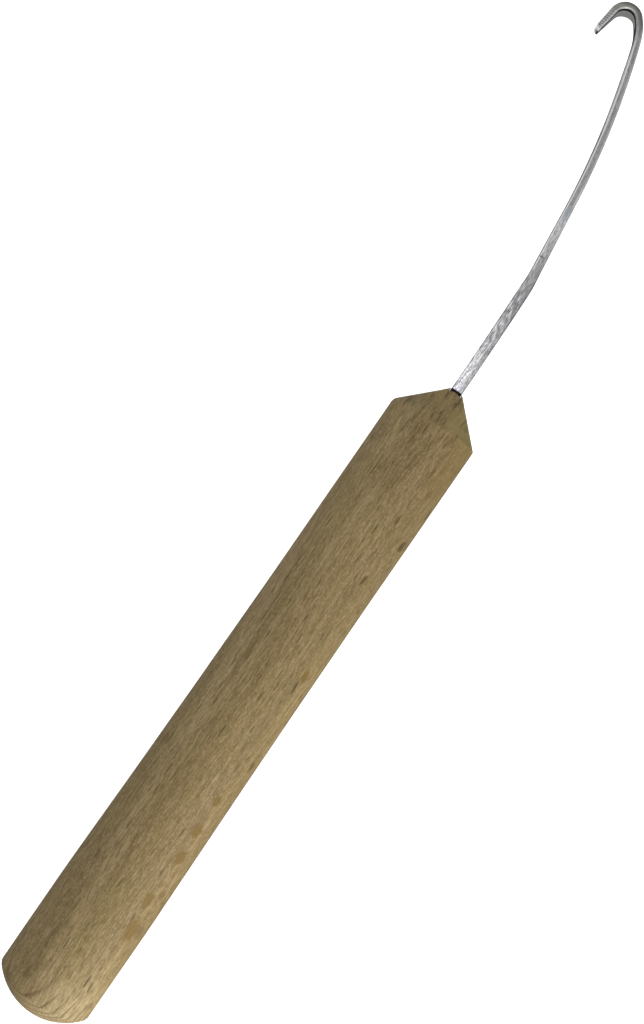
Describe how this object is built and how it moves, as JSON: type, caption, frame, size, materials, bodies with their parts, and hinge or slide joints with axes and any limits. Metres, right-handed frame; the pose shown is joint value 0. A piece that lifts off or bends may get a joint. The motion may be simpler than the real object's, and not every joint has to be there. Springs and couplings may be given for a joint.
{
  "type": "hive tool",
  "caption": "Hooked hive tool: a slim steel blade, swept and bent back into a small hook, in a round turned beech handle with a domed butt and a cone nose.",
  "frame": {"origin": "on the handle's turning axis at half the handle's length, the middle of the grip", "axes": "+X along the handle's axis towards the hook, +Y the side that the hook bends towards, +Z square to the plane of the hook, so the tool lies on its side on a surface"},
  "size_m": [0.2987, 0.0374, 0.0268],
  "materials": {
    "beech": "fine sanded beech, thin satin oil",
    "bright_steel": "drawn and filed bright steel, fine scratches along the bar"
  },
  "bodies": {
    "root": {"beech_handle": "beech", "hook_blade": "bright_steel"}
  },
  "joints": []
}
